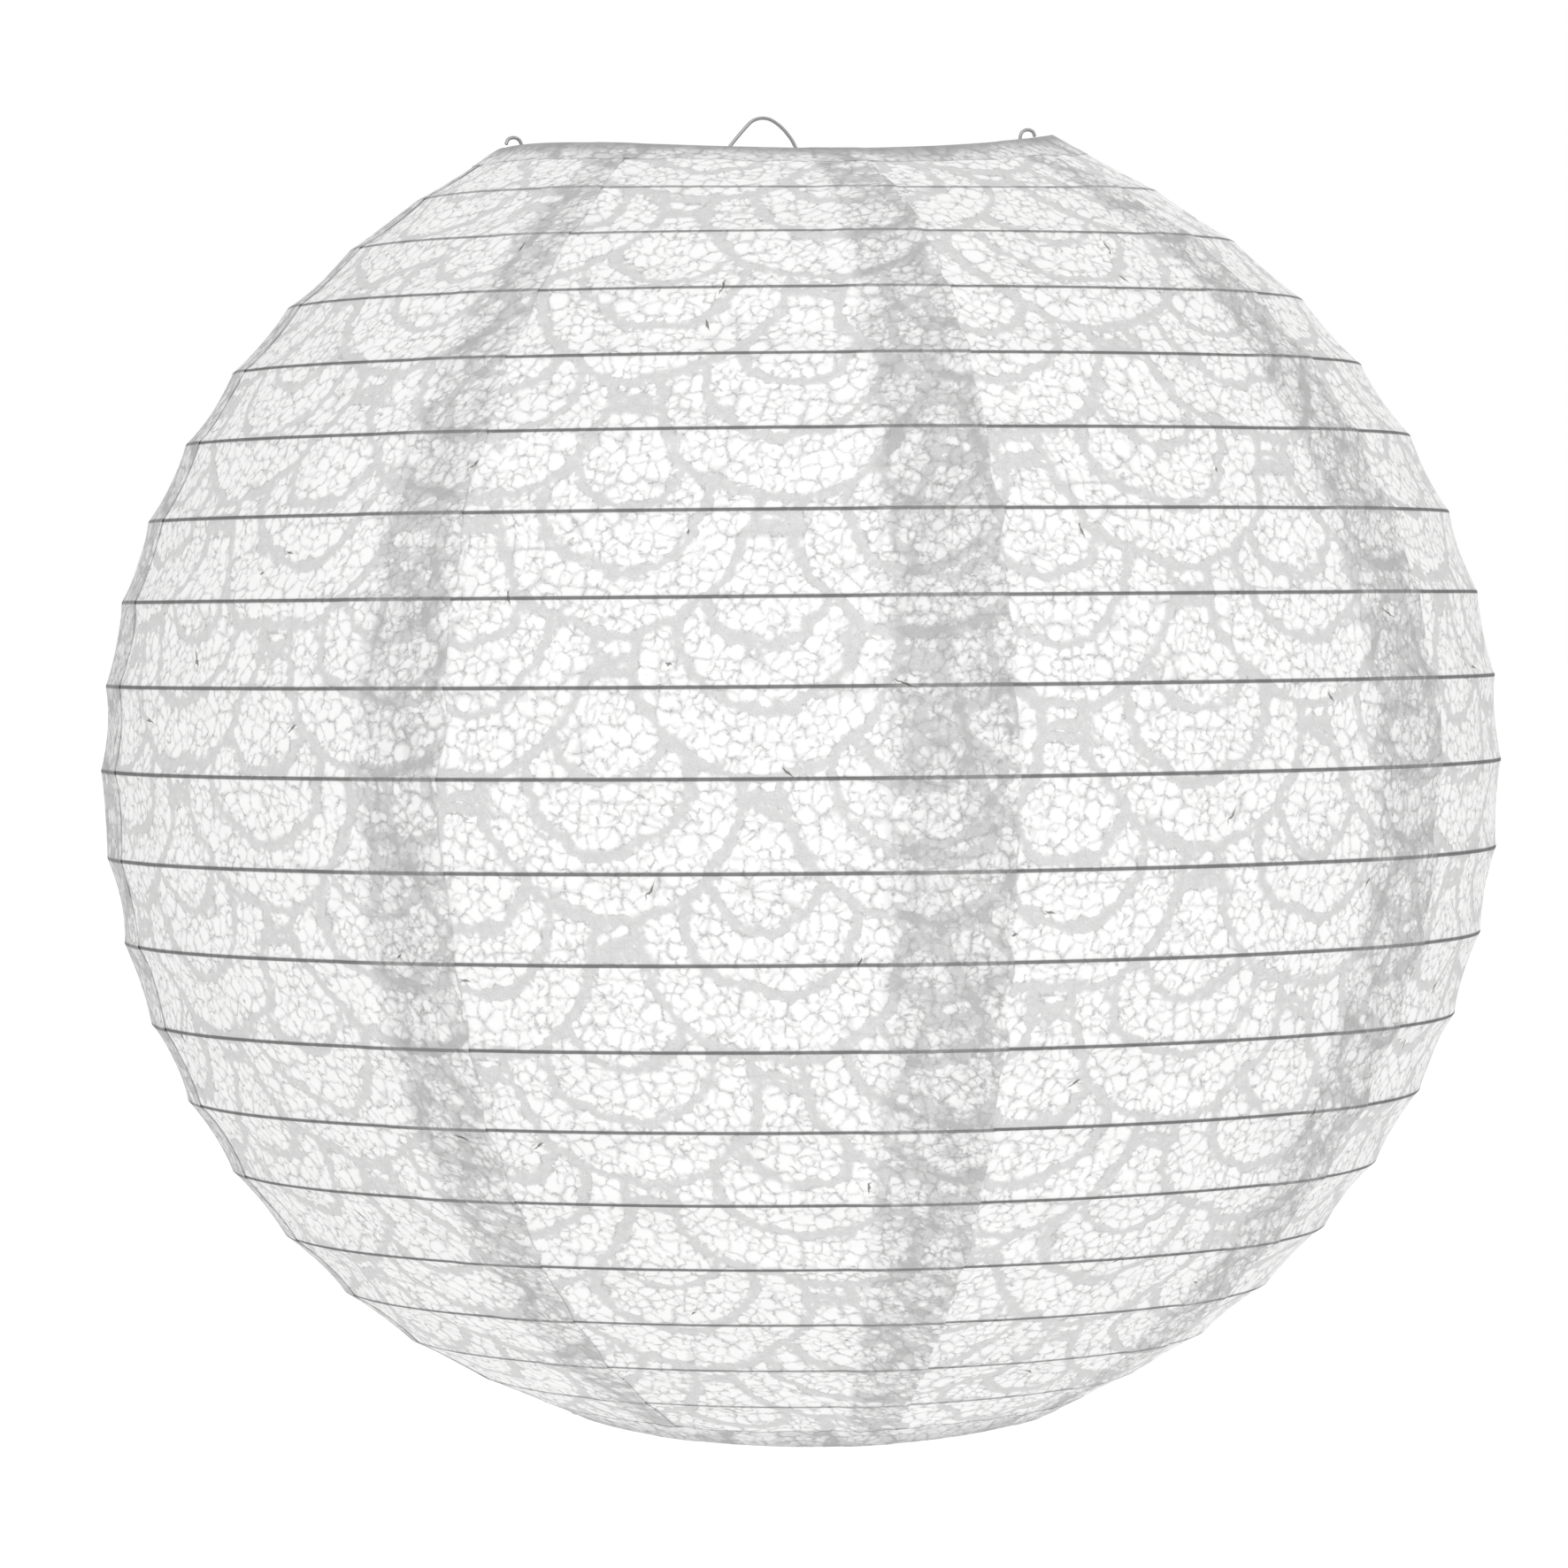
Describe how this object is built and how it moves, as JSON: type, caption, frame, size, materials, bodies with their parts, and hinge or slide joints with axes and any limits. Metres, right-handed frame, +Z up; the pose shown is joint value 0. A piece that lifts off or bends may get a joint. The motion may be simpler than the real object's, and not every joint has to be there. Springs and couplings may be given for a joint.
{
  "type": "round paper lantern",
  "caption": "Round white lace-paper lantern on wire hoops, open at top and bottom, hung by the arch of a wire expander, folding flat upwards.",
  "frame": {"origin": "underside of the hanging arch, at its highest point, on the shade's upright axis", "axes": "+Z up along the shade's axis; -Y faces the viewer of the front; +X to that viewer's right; the expander's crossbar is turned 20 degrees about Z from X"},
  "size_m": [0.3584, 0.3584, 0.3364],
  "materials": {
    "lace_paper": "soft white lace-pattern fibre paper, matt, light passes through",
    "hem_paper": "doubled white paper, matt",
    "rim_wire": "drawn steel wire",
    "hoop_wire": "thin drawn steel wire",
    "expander_wire": "bright drawn steel wire"
  },
  "bodies": {
    "expander_and_top": {"crossbar_with_hanging_arch": "expander_wire", "top_rim_ring": "rim_wire", "top_hem": "hem_paper", "paper_gore_1": "lace_paper", "paper_gore_2": "lace_paper", "paper_gore_3": "lace_paper", "paper_gore_4": "lace_paper", "paper_gore_5": "lace_paper", "paper_gore_6": "lace_paper", "paper_gore_7": "lace_paper", "paper_gore_8": "lace_paper"},
    "left_leg": {"left_expander_leg": "expander_wire"},
    "right_leg": {"right_expander_leg": "expander_wire"},
    "bottom_rim": {"bottom_rim_ring": "rim_wire", "bottom_hem": "hem_paper"},
    "hoop_01": {"rib_hoop_01": "hoop_wire"},
    "hoop_02": {"rib_hoop_02": "hoop_wire"},
    "hoop_03": {"rib_hoop_03": "hoop_wire"},
    "hoop_04": {"rib_hoop_04": "hoop_wire"},
    "hoop_05": {"rib_hoop_05": "hoop_wire"},
    "hoop_06": {"rib_hoop_06": "hoop_wire"},
    "hoop_07": {"rib_hoop_07": "hoop_wire"},
    "hoop_08": {"rib_hoop_08": "hoop_wire"},
    "hoop_09": {"rib_hoop_09": "hoop_wire"},
    "hoop_10": {"rib_hoop_10": "hoop_wire"},
    "hoop_11": {"rib_hoop_11": "hoop_wire"},
    "hoop_12": {"rib_hoop_12": "hoop_wire"},
    "hoop_13": {"rib_hoop_13": "hoop_wire"},
    "hoop_14": {"rib_hoop_14": "hoop_wire"},
    "hoop_15": {"rib_hoop_15": "hoop_wire"},
    "hoop_16": {"rib_hoop_16": "hoop_wire"},
    "hoop_17": {"rib_hoop_17": "hoop_wire"},
    "hoop_18": {"rib_hoop_18": "hoop_wire"}
  },
  "joints": [
    {"name": "shade_fold", "type": "slide", "parent": "expander_and_top", "child": "bottom_rim", "axis": [0, 0, 1], "range_m": [0, 0.2909], "deforming": ["paper_gore_1", "paper_gore_2", "paper_gore_3", "paper_gore_4", "paper_gore_5", "paper_gore_6", "paper_gore_7", "paper_gore_8"]},
    {"name": "hoop_01_rise", "type": "slide", "parent": "expander_and_top", "child": "hoop_01", "axis": [0, 0, 1], "range_m": [0, 0.01112]},
    {"name": "hoop_02_rise", "type": "slide", "parent": "expander_and_top", "child": "hoop_02", "axis": [0, 0, 1], "range_m": [0, 0.02233]},
    {"name": "hoop_03_rise", "type": "slide", "parent": "expander_and_top", "child": "hoop_03", "axis": [0, 0, 1], "range_m": [0, 0.03542]},
    {"name": "hoop_04_rise", "type": "slide", "parent": "expander_and_top", "child": "hoop_04", "axis": [0, 0, 1], "range_m": [0, 0.05019]},
    {"name": "hoop_05_rise", "type": "slide", "parent": "expander_and_top", "child": "hoop_05", "axis": [0, 0, 1], "range_m": [0, 0.0664]},
    {"name": "hoop_06_rise", "type": "slide", "parent": "expander_and_top", "child": "hoop_06", "axis": [0, 0, 1], "range_m": [0, 0.08378]},
    {"name": "hoop_07_rise", "type": "slide", "parent": "expander_and_top", "child": "hoop_07", "axis": [0, 0, 1], "range_m": [0, 0.10207]},
    {"name": "hoop_08_rise", "type": "slide", "parent": "expander_and_top", "child": "hoop_08", "axis": [0, 0, 1], "range_m": [0, 0.12097]},
    {"name": "hoop_09_rise", "type": "slide", "parent": "expander_and_top", "child": "hoop_09", "axis": [0, 0, 1], "range_m": [0, 0.14017]},
    {"name": "hoop_10_rise", "type": "slide", "parent": "expander_and_top", "child": "hoop_10", "axis": [0, 0, 1], "range_m": [0, 0.16006]},
    {"name": "hoop_11_rise", "type": "slide", "parent": "expander_and_top", "child": "hoop_11", "axis": [0, 0, 1], "range_m": [0, 0.17942]},
    {"name": "hoop_12_rise", "type": "slide", "parent": "expander_and_top", "child": "hoop_12", "axis": [0, 0, 1], "range_m": [0, 0.19797]},
    {"name": "hoop_13_rise", "type": "slide", "parent": "expander_and_top", "child": "hoop_13", "axis": [0, 0, 1], "range_m": [0, 0.21547]},
    {"name": "hoop_14_rise", "type": "slide", "parent": "expander_and_top", "child": "hoop_14", "axis": [0, 0, 1], "range_m": [0, 0.23169]},
    {"name": "hoop_15_rise", "type": "slide", "parent": "expander_and_top", "child": "hoop_15", "axis": [0, 0, 1], "range_m": [0, 0.24643]},
    {"name": "hoop_16_rise", "type": "slide", "parent": "expander_and_top", "child": "hoop_16", "axis": [0, 0, 1], "range_m": [0, 0.25956]},
    {"name": "hoop_17_rise", "type": "slide", "parent": "expander_and_top", "child": "hoop_17", "axis": [0, 0, 1], "range_m": [0, 0.27093]},
    {"name": "hoop_18_rise", "type": "slide", "parent": "expander_and_top", "child": "hoop_18", "axis": [0, 0, 1], "range_m": [0, 0.28047]},
    {"name": "left_leg_squeeze", "type": "hinge", "parent": "expander_and_top", "child": "left_leg", "pos_m": [-0.06202, -0.02257, -0.0135], "axis": [0.342, -0.9397, 0], "range_deg": [0, 8], "stiffness_Nm_per_rad": 0.5},
    {"name": "right_leg_squeeze", "type": "hinge", "parent": "expander_and_top", "child": "right_leg", "pos_m": [0.06202, 0.02257, -0.0135], "axis": [-0.342, 0.9397, 0], "range_deg": [0, 8], "stiffness_Nm_per_rad": 0.5}
  ],
  "couplings": [
    {"joint": "hoop_01_rise", "follows": "shade_fold", "ratio": 0.03819},
    {"joint": "hoop_02_rise", "follows": "shade_fold", "ratio": 0.07672},
    {"joint": "hoop_03_rise", "follows": "shade_fold", "ratio": 0.12173},
    {"joint": "hoop_04_rise", "follows": "shade_fold", "ratio": 0.1725},
    {"joint": "hoop_05_rise", "follows": "shade_fold", "ratio": 0.22821},
    {"joint": "hoop_06_rise", "follows": "shade_fold", "ratio": 0.28798},
    {"joint": "hoop_07_rise", "follows": "shade_fold", "ratio": 0.35085},
    {"joint": "hoop_08_rise", "follows": "shade_fold", "ratio": 0.41581},
    {"joint": "hoop_09_rise", "follows": "shade_fold", "ratio": 0.48183},
    {"joint": "hoop_10_rise", "follows": "shade_fold", "ratio": 0.55019},
    {"joint": "hoop_11_rise", "follows": "shade_fold", "ratio": 0.61674},
    {"joint": "hoop_12_rise", "follows": "shade_fold", "ratio": 0.68052},
    {"joint": "hoop_13_rise", "follows": "shade_fold", "ratio": 0.74067},
    {"joint": "hoop_14_rise", "follows": "shade_fold", "ratio": 0.79641},
    {"joint": "hoop_15_rise", "follows": "shade_fold", "ratio": 0.84711},
    {"joint": "hoop_16_rise", "follows": "shade_fold", "ratio": 0.89222},
    {"joint": "hoop_17_rise", "follows": "shade_fold", "ratio": 0.93132},
    {"joint": "hoop_18_rise", "follows": "shade_fold", "ratio": 0.9641}
  ]
}
